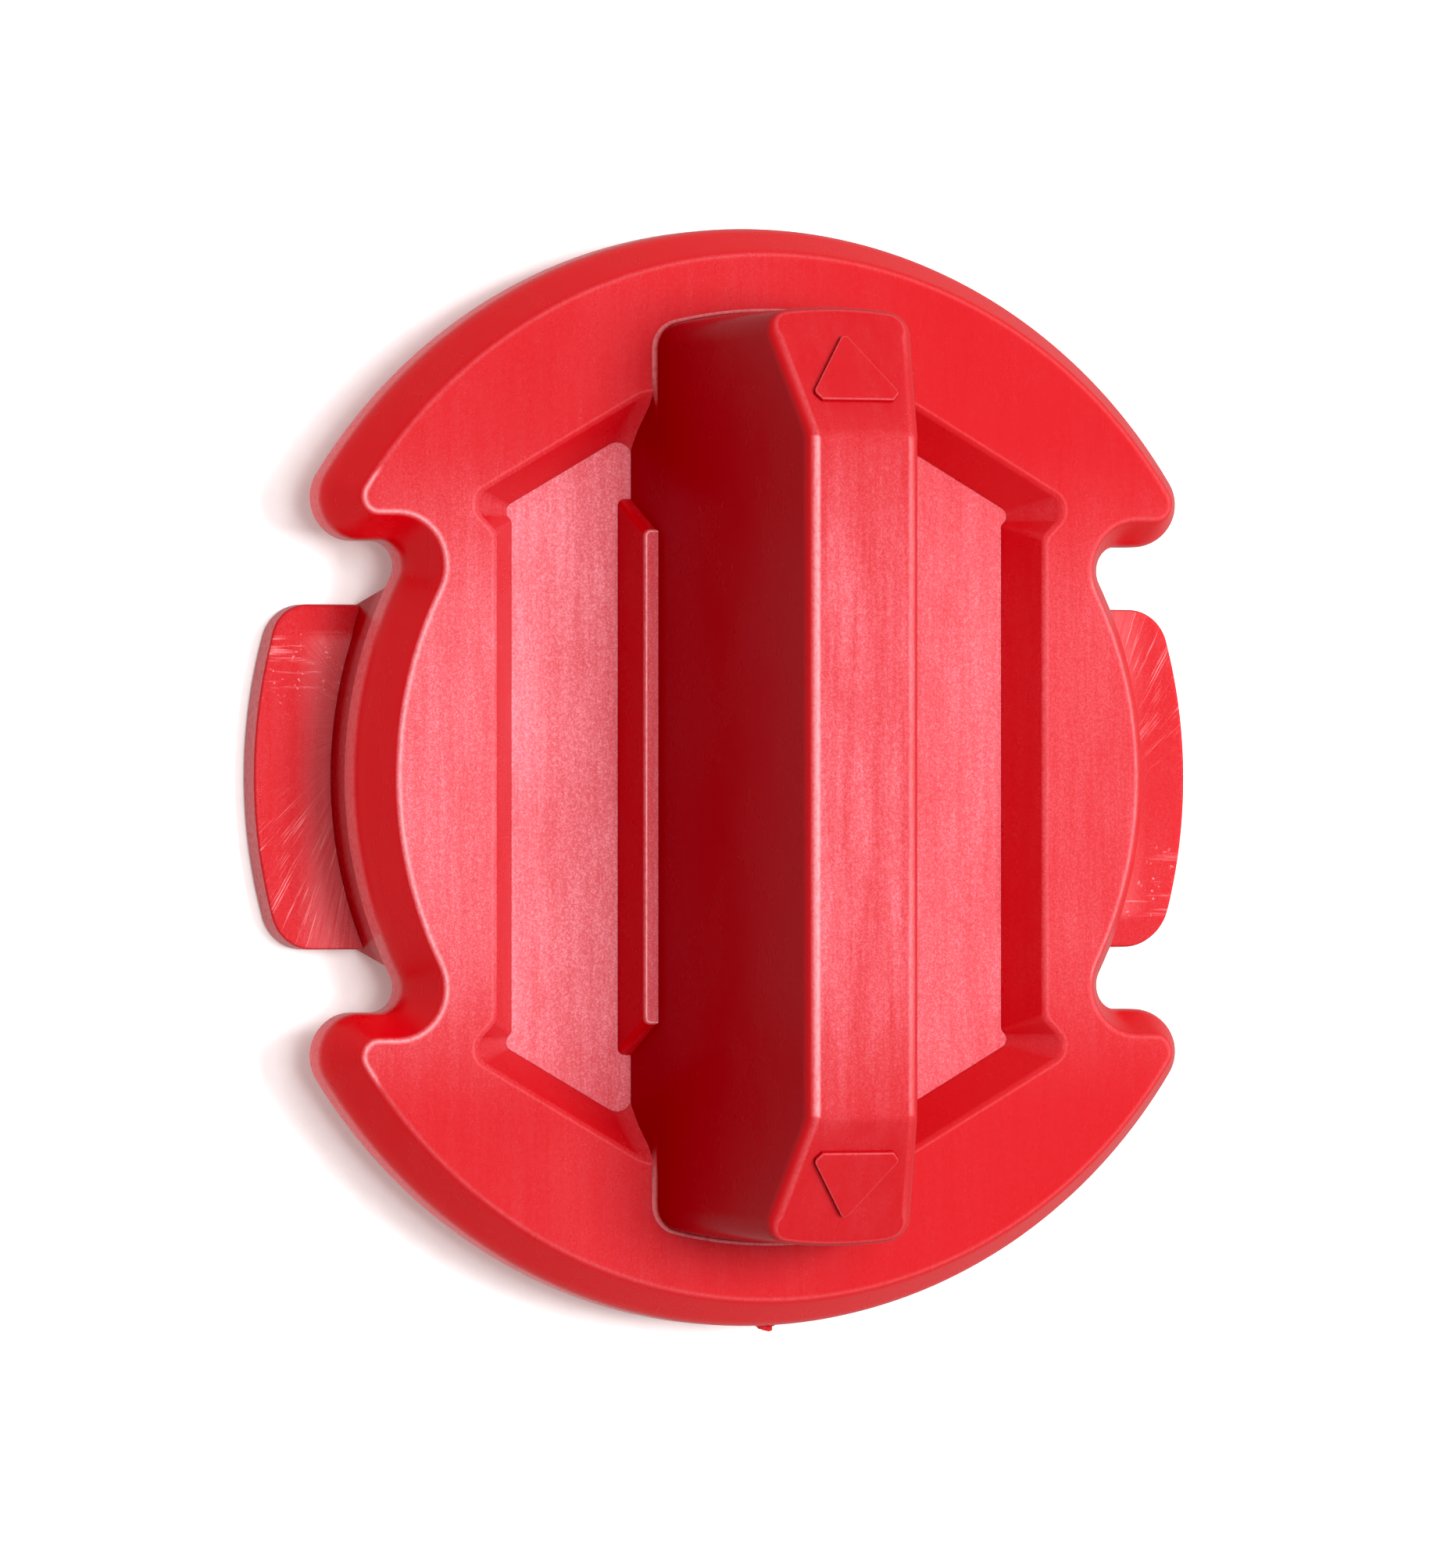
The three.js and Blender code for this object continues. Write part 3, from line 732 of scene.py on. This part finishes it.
# ---- Grip -----------------------------------------------------------------------------------
class Bar:
    """A tapered bar with round ends and a roof that slopes down at both ends.

    `foot` is half its width at the foot, `corner` the radius of its upright corners in plan,
    `crown` the height of its roof, and `rounds` the radii of the roof's edge along the sides
    and round the ends.
    """

    # Stations along one half of a side, closest together where the roof starts to slope.
    rows_y = [0.0, 6.0, 12.0, 18.0, 21.0, 22.3, 22.6, 22.9, 23.1, 23.3, 23.5, 23.7, 24.0, 24.4,
              25.5, 27.4]
    side_rows = [-y for y in rows_y[:0:-1]] + rows_y
    corner_steps = 8
    end_steps = 18
    round_steps = len(GRIP_EDGE_HIGHLIGHT) - 1
    # (height, outward flare, painted highlight) of the small fillet where the bar meets the flange's
    # face.
    collar = [(FACE_Z - 0.3, 0.25, 0.0), (FACE_Z + 0.01, 0.25, 0.35), (FACE_Z + 0.1, 0.1, 0.3),
              (FACE_Z + 0.3, 0.0, 0.0)]
    # The hidden inner bar has one plain row there instead.
    plain_collar = [(FACE_Z + 1, 0.0, 0.0)]

    def __init__(self, foot, draft, end_radius, corner, crown, crease_y, rounds, flares=True):
        self.foot, self.draft = foot, draft
        self.end_radius, self.corner = end_radius, corner
        self.crown, self.crease_y, self.rounds = crown, crease_y, rounds
        self.rows_at_face = self.collar if flares else self.plain_collar

    def half_width(self, z):
        """Half the bar's width at a height."""
        return self.foot - self.draft * (z - GRIP_FOOT_Z)

    def roof(self, y):
        """Height of the roof along the bar."""
        return creased(self.crown, abs(y) - self.crease_y, GRIP_END_FALL, GRIP_CREASE_SOFTNESS)

    def entries(self):
        """The loop's stations: (kind, x sign, y sign, place), anticlockwise from the east side."""
        k = self.corner_steps
        loop = [("side", 1, 0, y) for y in self.side_rows]
        loop += [("corner", 1, 1, i / k) for i in range(k + 1)]
        loop += [("end", 0, 1, i / self.end_steps) for i in range(1, self.end_steps)]
        loop += [("corner", -1, 1, i / k) for i in range(k, -1, -1)]
        loop += [("side", -1, 0, y) for y in self.side_rows[::-1]]
        loop += [("corner", -1, -1, i / k) for i in range(k + 1)]
        loop += [("end", 0, -1, i / self.end_steps) for i in range(self.end_steps - 1, 0, -1)]
        loop += [("corner", 1, -1, i / k) for i in range(k, -1, -1)]
        return loop

    def plan(self, entry, z):
        """(point, outward normal) of a station at a height, in plan."""
        kind, sx, sy, place = entry
        half = self.half_width(z)
        if kind == "side":
            return Vector((sx * half, place)), Vector((sx, 0))
        cx = half - self.corner
        cy = math.sqrt((self.end_radius - self.corner) ** 2 - cx ** 2)
        swing = math.atan2(cy, cx)
        if kind == "corner":
            normal = Vector((sx * math.cos(swing * place), sy * math.sin(swing * place)))
            return Vector((sx * cx, sy * cy)) + normal * self.corner, normal
        angle = swing + place * (math.pi - 2 * swing)
        normal = Vector((math.cos(angle), sy * math.sin(angle)))
        return normal * self.end_radius, normal

    def on_wall(self, entry, z, flare=0.0):
        """A point of the wall, carried outwards where the bar stands on the flange's face."""
        point, normal = self.plan(entry, z)
        if flare and abs(point.y) > GRIP_COLLAR_FROM_Y:
            point = point + normal * flare
        return Vector((point.x, point.y, z))

    def rounding(self, entry):
        """Points of the rounded edge at one station, from the wall over to the roof."""
        # The wall leans, so the height where it meets the roof is closed in on.
        z = self.crown
        for _ in range(8):
            z = self.roof(self.plan(entry, z)[0].y)
        corner = self.on_wall(entry, z)
        normal = self.plan(entry, z)[1]
        step = 0.01
        ahead_y = corner.y - normal.y * step
        inward = Vector((-normal.x * step, -normal.y * step, self.roof(ahead_y) - z))
        down = self.on_wall(entry, z - 1) - corner
        side, end = self.rounds
        share = {"side": 0.0, "corner": entry[3], "end": 1.0}[entry[0]]
        radius = side + (end - side) * share
        return rounded_corner(corner + down, corner, corner + inward * 100, radius,
                              self.round_steps)

    def painted_light(self, entry, i):
        """The painted highlight on row i of the rounded edge: most on the west side, where the light
        catches it, faint round the ends.
        """
        kind, sx, _, place = entry
        if kind != "side":
            return GRIP_EDGE_HIGHLIGHT[i] * GRIP_HIGHLIGHT_ROUND_ENDS
        along = 1.0 if abs(place) < self.crease_y else GRIP_HIGHLIGHT_PAST_CREASE
        return GRIP_EDGE_HIGHLIGHT[i] * along * (1.0 if sx < 0 else GRIP_HIGHLIGHT_EAST)

    def build(self, bm):
        """Adds the walls and the roof, and returns the foot ring."""
        loop = self.entries()
        rows = [ring(bm, [self.on_wall(entry, GRIP_FOOT_Z) for entry in loop])]
        for z, flare, painted_light in self.rows_at_face:
            points = [self.on_wall(entry, z, flare) for entry in loop]
            # The collar carries a painted highlight where the bar stands on the face.
            lightened = [painted_light if abs(p.y) > GRIP_COLLAR_FROM_Y else 0.0 for p in points]
            rows.append(ring(bm, points, lightened))
        rounded = [self.rounding(entry) for entry in loop]
        # The rounded edge's rows carry the painted highlight.
        for i in range(self.round_steps + 1):
            points = [corner[i] for corner in rounded]
            rows.append(ring(bm, points, [self.painted_light(entry, i) for entry in loop]))
        bridge_all(bm, rows)
        self.build_roof(bm, dict(zip(loop, rows[-1])))
        return rows[0]

    def build_roof(self, bm, top):
        """Rows of quads across the roof, from the south end's arc to the north end's."""
        k, n = self.corner_steps, self.end_steps
        pairs = [("corner", -1, i / k) for i in range(k - 1, -1, -1)]
        pairs += [("side", 0, y) for y in self.side_rows]
        pairs += [("corner", 1, i / k) for i in range(k)]

        def end_row(sy):
            inside = [top[("end", 0, sy, i / n)] for i in range(1, n)]
            return [top[("corner", 1, sy, 1.0)], *inside, top[("corner", -1, sy, 1.0)]]

        rows = [end_row(-1)]
        for kind, sy, place in pairs:
            east, west = top[(kind, 1, sy, place)], top[(kind, -1, sy, place)]
            inside = [bm.verts.new(east.co.lerp(west.co, i / n)) for i in range(1, n)]
            rows.append([east, *inside, west])
        rows.append(end_row(1))
        bridge_all(bm, rows, closed=False)


def make_grip():
    """The hollow grip: an outer bar and an inner one, joined round the foot."""
    outer = Bar(GRIP_FOOT_HALF_WIDTH, GRIP_DRAFT, GRIP_END_RADIUS, GRIP_CORNER_RADIUS,
                GRIP_TOP_Z, GRIP_CREASE_Y, (GRIP_SIDE_ROUND, GRIP_END_ROUND))
    inner = Bar(GRIP_FOOT_HALF_WIDTH - GRIP_FOOT_WALL, GRIP_INNER_DRAFT, GRIP_END_RADIUS - WALL,
                GRIP_INNER_CORNER_RADIUS, GRIP_TOP_Z - GRIP_CROWN_WALL, GRIP_CREASE_Y - 1,
                (GRIP_INNER_ROUND, GRIP_INNER_ROUND), flares=False)
    bm = bmesh.new()
    bridge(bm, outer.build(bm), inner.build(bm))
    finish_piece("moulded_grip", bm, GRIP_PLASTIC,
                 ["grip_wall_east", "grip_wall_west", "grip_crown", "grip_end_north",
                  "grip_end_south"])


def make_ledge(side, sign):
    """A ledge leaning on the grip's foot, standing on the pocket's floor."""
    foot_x, foot_y = edge("grip_ledge_east", "x"), edge("grip_ledge_east", "y")
    inner_x = GRIP_FOOT_HALF_WIDTH - LEDGE_GRIP_OVERLAP

    def outline(x_in, x_out, y, radius):
        corners = [(x_in, -y), (x_out, -y), (x_out, y), (x_in, y)]
        radii = [LEDGE_INNER_RADIUS, radius, radius, LEDGE_INNER_RADIUS]
        return rounded_polygon(corners, radii)

    foot = outline(inner_x, foot_x, foot_y, LEDGE_FOOT_RADIUS)
    top = outline(*LEDGE_TOP_X, LEDGE_TOP_Y, LEDGE_TOP_RADIUS)
    # The top's edge rows carry a painted highlight: two pale lines along the ledge.
    levels = [(foot, FLOOR_Z - LEDGE_FLOOR_OVERLAP, 0.0),
              (shrunk(top, -0.1), LEDGE_TOP_Z - 0.3, 0.0),
              (top, LEDGE_TOP_Z - 0.1, 0.4),
              (shrunk(top, 0.04), LEDGE_TOP_Z - 0.02, 0.9),
              (shrunk(top, 0.09), LEDGE_TOP_Z, 0.6),
              (shrunk(top, 0.15), LEDGE_TOP_Z, 0.0)]
    loft(f"moulded_ledge_{side}", levels, sign, LEDGE_PLASTIC, [f"grip_ledge_{side}"])


def make_arrow(side, sign):
    """A raised arrow lying on one of the grip's sloping ends."""
    cut, half = ARROW_BASE_CHAMFER, ARROW_HALF_WIDTH
    corners = [(-half + cut, ARROW_BASE_Y), (half - cut, ARROW_BASE_Y), (half, ARROW_BASE_Y + cut),
               (0, ARROW_TIP_Y), (-half, ARROW_BASE_Y + cut)]
    outline = rounded_polygon(corners, ARROW_CORNER_RADII, 4)
    lean = math.atan(GRIP_END_FALL)
    # (inset, height above the slope, painted highlight) of each row, from inside the grip up.
    rows = [(-0.1, -0.3, 0.0), (0.0, 0.2, 0.0), (0.03, 0.29, 0.2), (0.11, 0.34, 0.0)]
    stack = []
    for inset, height, painted_light in rows:
        points = []
        for x, y in shrunk(outline, inset):
            z = GRIP_TOP_Z - GRIP_END_FALL * (y - GRIP_CREASE_Y)
            points.append((x, y + height * math.sin(lean), z + height * math.cos(lean)))
        stack.append((turned(points, sign), painted_light))
    loft_rings(f"moulded_arrow_{side}", stack, GRIP_PLASTIC, [f"arrow_{side}"])


# ---- Hub walls and tabs ---------------------------------------------------------------------
def hub_outline(inset, z):
    """The curved wall's outline at a height; it grows a little longer upwards."""
    span = HUB_SPAN_AT_TAB + HUB_SPAN_TAPER * (z - TAB_TOP_Z) - inset
    outer, inner = HUB_OUTER_RADIUS - inset, HUB_INNER_RADIUS + inset
    far = math.degrees(math.asin((span - HUB_CORNER) / outer))
    near = math.degrees(math.asin((span - 0.05) / inner))
    middle_x, middle_y = HUB_CORNER_MIDDLE
    points = arc(0, 0, outer, -far, far, 40)
    x, y = points[-1]
    points += [(x - middle_x, y + middle_y), (x - HUB_CORNER, y + HUB_CORNER)]
    points += arc(0, 0, inner, near, -near, 40)
    return points + [(x - HUB_CORNER, -y - HUB_CORNER), (x - middle_x, -y - middle_y)]


def make_hub_wall(side, sign):
    """The curved wall that carries the flange's side down to its tab."""
    # (inset, z, painted light) of each row: rounded at the foot, with a faint painted highlight
    # there, and a painted reflection just under the rim.
    rows = [(0.2, 0.0, 0.0), (0.05, 0.06, 0.1), (0.0, 0.2, 0.1), (0.0, TAB_TOP_Z, 0.0),
            (0.0, RIM_BOTTOM_Z - 1.3, 0.0), (0.0, RIM_BOTTOM_Z - 0.7, 0.10),
            (0.0, RIM_BOTTOM_Z, 0.14), (0.0, RIM_BOTTOM_Z + 0.8, 0.14)]
    levels = [(hub_outline(inset, z), z, painted_light) for inset, z, painted_light in rows]
    loft(f"moulded_hub_wall_{side}", levels, sign, TAB_PLASTIC, [f"hub_wall_{side}"])


def tab_roof(y):
    """Height of the tab's top along it: flat, then a lead-in ramp at the south end."""
    past = -(TAB_HALF_SPAN - TAB_RAMP_LENGTH) - y
    return creased(TAB_TOP_Z, past, TAB_RAMP_DROP / TAB_RAMP_LENGTH, TAB_RAMP_SOFTNESS)


def tab_root_x(y):
    """Where the tab's hidden inner edge is, along the tab."""
    return math.sqrt(TAB_ROOT_RADIUS ** 2 - y ** 2)


def tab_outline(inset, columns):
    """The tab's edge from its root, round the outside and back, inside its full size."""
    corner_y = TAB_HALF_SPAN - TAB_CORNER_RADIUS
    corner_x = math.sqrt((TAB_RADIUS - TAB_CORNER_RADIUS) ** 2 - corner_y ** 2)
    swing = math.degrees(math.atan2(corner_y, corner_x))
    radius = TAB_CORNER_RADIUS - inset
    end_y = TAB_HALF_SPAN - inset
    near = tab_root_x(end_y)
    line = [(near + (corner_x - near) * i / columns, -end_y) for i in range(columns + 1)]
    outside = arc(corner_x, -corner_y, radius, -90, -swing, 12)[1:]
    outside += arc(0, 0, TAB_RADIUS - inset, -swing, swing, 30)[1:]
    outside += arc(corner_x, corner_y, radius, swing, 90, 12)[1:-1]
    return line + outside + [(x, -y) for x, y in line[::-1]]


def tab_edge_profile():
    """(inset, height, whether it is measured from the roof, painted highlight) of the rows up the
    tab's edge.
    """
    size, steps = TAB_EDGE_ROUND, 3
    profile = [(size, 0.0, False, TAB_UNDERSIDE_HIGHLIGHT), (0.07, 0.07, False, TAB_EDGE_HIGHLIGHT),
               (0.0, size, False, TAB_EDGE_HIGHLIGHT)]
    for i in range(steps + 1):
        angle = math.pi / 2 * i / steps
        painted_light = 0.0 if i else TAB_EDGE_HIGHLIGHT
        profile.append((size * (1 - math.cos(angle)), -size * (1 - math.sin(angle)), True, painted_light))
    return profile


def make_tab(side, sign):
    """A locking tab, as rows across it from its ramped end to its plain end."""
    columns = 10
    bm = bmesh.new()
    rows = []
    for inset, height, from_roof, painted_light in tab_edge_profile():
        points = []
        for x, y in tab_outline(inset, columns):
            points.append((x, y, height + (tab_roof(y) if from_roof else 0)))
        rows.append(ring(bm, turned(points, sign), painted_light))
    bridge_all(bm, rows)
    bm.faces.new(rows[0])
    top = rows[-1]
    across = [top[:columns + 1]]
    for outer in top[columns + 1:-columns - 1]:
        x_out, y = [sign * place * MM_PER_METRE for place in outer.co.xy]
        x_in = tab_root_x(y)
        inside = [(x_in + (x_out - x_in) * i / columns, y, tab_roof(y)) for i in range(columns)]
        across.append([*ring(bm, turned(inside, sign)), outer])
    across.append(top[:-columns - 2:-1])
    bridge_all(bm, across, closed=False)
    bm.faces.new([row[0] for row in across])
    finish_piece(f"moulded_tab_{side}", bm, TAB_PLASTIC, [f"locking_tab_{side}"])


def make_gate_nub():
    """The torn stub left on the south lobe's edge where the plastic was fed in."""
    bm = bmesh.new()
    painted_light_layer(bm)
    bmesh.ops.create_icosphere(bm, subdivisions=3, radius=NUB_RADIUS / MM_PER_METRE)
    for vert in bm.verts:
        x, y, z = vert.co * MM_PER_METRE
        swell = 1 + 0.3 * math.sin(9 * x + 4 * z) * math.sin(7 * z + 2) + 0.2 * math.sin(13 * y)
        lump = Vector((x, y, z)) * Vector(NUB_SHAPE) * swell
        vert.co = (lump + Vector(NUB_CENTRE)) / MM_PER_METRE
    finish_piece("moulded_gate_nub", bm, FLANGE_PLASTIC, [])


# ---- The plug -------------------------------------------------------------------------------
make_flange()
make_grip()
make_gate_nub()
for side, sign in (("east", 1), ("west", -1)):
    make_pocket_floor(side, sign)
    make_ledge(side, sign)
    make_hub_wall(side, sign)
    make_tab(side, sign)
for side, sign in (("north", 1), ("south", -1)):
    make_arrow(side, sign)


# ---- Stage ----------------------------------------------------------------------------------
FLOOR_HALF_SIZE = 4.0
FLOOR_DROP = 0.00005

CAMERA_LENS = 360.25
CAMERA_LEAN = (0.228, -23.699)
CAMERA_OFFSET = (-0.003507, -0.000474, 1.0)

# (name, direction, size in metres, power in watts, whether the plastic mirrors it). A light that
# isn't mirrored lights the plug but leaves no reflection in its satin surface.
LIGHTS = [
    ("east softbox", (0.40, 0.07, 0.91), 0.40, 9.6, False),
    ("top softbox", (-0.10, 0.10, 0.99), 0.40, 4.0, False),
    ("ridge lamp", (-0.20, 0.0, 0.98), 0.10, 0.5, True),
    ("east lamp", (0.75, 0.05, 0.7), 0.09, 0.4, True),
]
LIGHT_DISTANCE = 0.9
WORLD_STRENGTH = 0.42
BLACK_LEVEL = 0.007


def make_floor():
    """The tabletop, a hair below the tabs; the plastic doesn't mirror it."""
    bm = bmesh.new()
    bmesh.ops.create_grid(bm, x_segments=8, y_segments=8, size=FLOOR_HALF_SIZE)
    mesh = bpy.data.meshes.new("tabletop")
    bm.to_mesh(mesh)
    bm.free()
    mesh.materials.append(pale_floor())
    floor = bpy.data.objects.new("tabletop", mesh)
    bpy.context.collection.objects.link(floor)
    floor.location.z = -FLOOR_DROP
    floor.visible_glossy = False


def make_camera():
    """Looks down from the west side, a little off vertical, with a long lens."""
    data = bpy.data.cameras.new("camera")
    data.sensor_fit = "HORIZONTAL"
    data.sensor_width = 36
    data.lens = CAMERA_LENS
    data.clip_start, data.clip_end = 0.01, 20
    camera = bpy.data.objects.new("camera", data)
    bpy.context.collection.objects.link(camera)
    camera.rotation_euler = (*[math.radians(lean) for lean in CAMERA_LEAN], 0)
    bpy.context.view_layer.update()
    aim = Vector((0, 0, FACE_Z / MM_PER_METRE))
    camera.location = aim + camera.rotation_euler.to_matrix() @ Vector(CAMERA_OFFSET)
    bpy.context.scene.camera = camera


def make_world():
    """An even white surround."""
    world = bpy.data.worlds.new("studio")
    world.use_nodes = True
    background = world.node_tree.nodes["Background"]
    background.inputs["Color"].default_value = (1, 1, 1, 1)
    background.inputs["Strength"].default_value = WORLD_STRENGTH
    bpy.context.scene.world = world


def make_light(name, direction, size, power, mirrored):
    """A soft square light that faces the plug from a direction."""
    data = bpy.data.lights.new(name, "AREA")
    data.size = size
    data.energy = power
    light = bpy.data.objects.new(name, data)
    bpy.context.collection.objects.link(light)
    towards = Vector(direction).normalized()
    light.location = towards * LIGHT_DISTANCE
    light.rotation_euler = towards.to_track_quat("Z", "Y").to_euler()
    light.visible_camera = False
    light.visible_glossy = mirrored


def set_contrast():
    """Plain colours, with the darkest reds deepened a little."""
    view = bpy.context.scene.view_settings
    view.view_transform = "Standard"
    view.use_curve_mapping = True
    view.curve_mapping.black_level = (BLACK_LEVEL, BLACK_LEVEL, BLACK_LEVEL)
    view.curve_mapping.update()


make_floor()
make_camera()
make_world()
for light in LIGHTS:
    make_light(*light)
set_contrast()
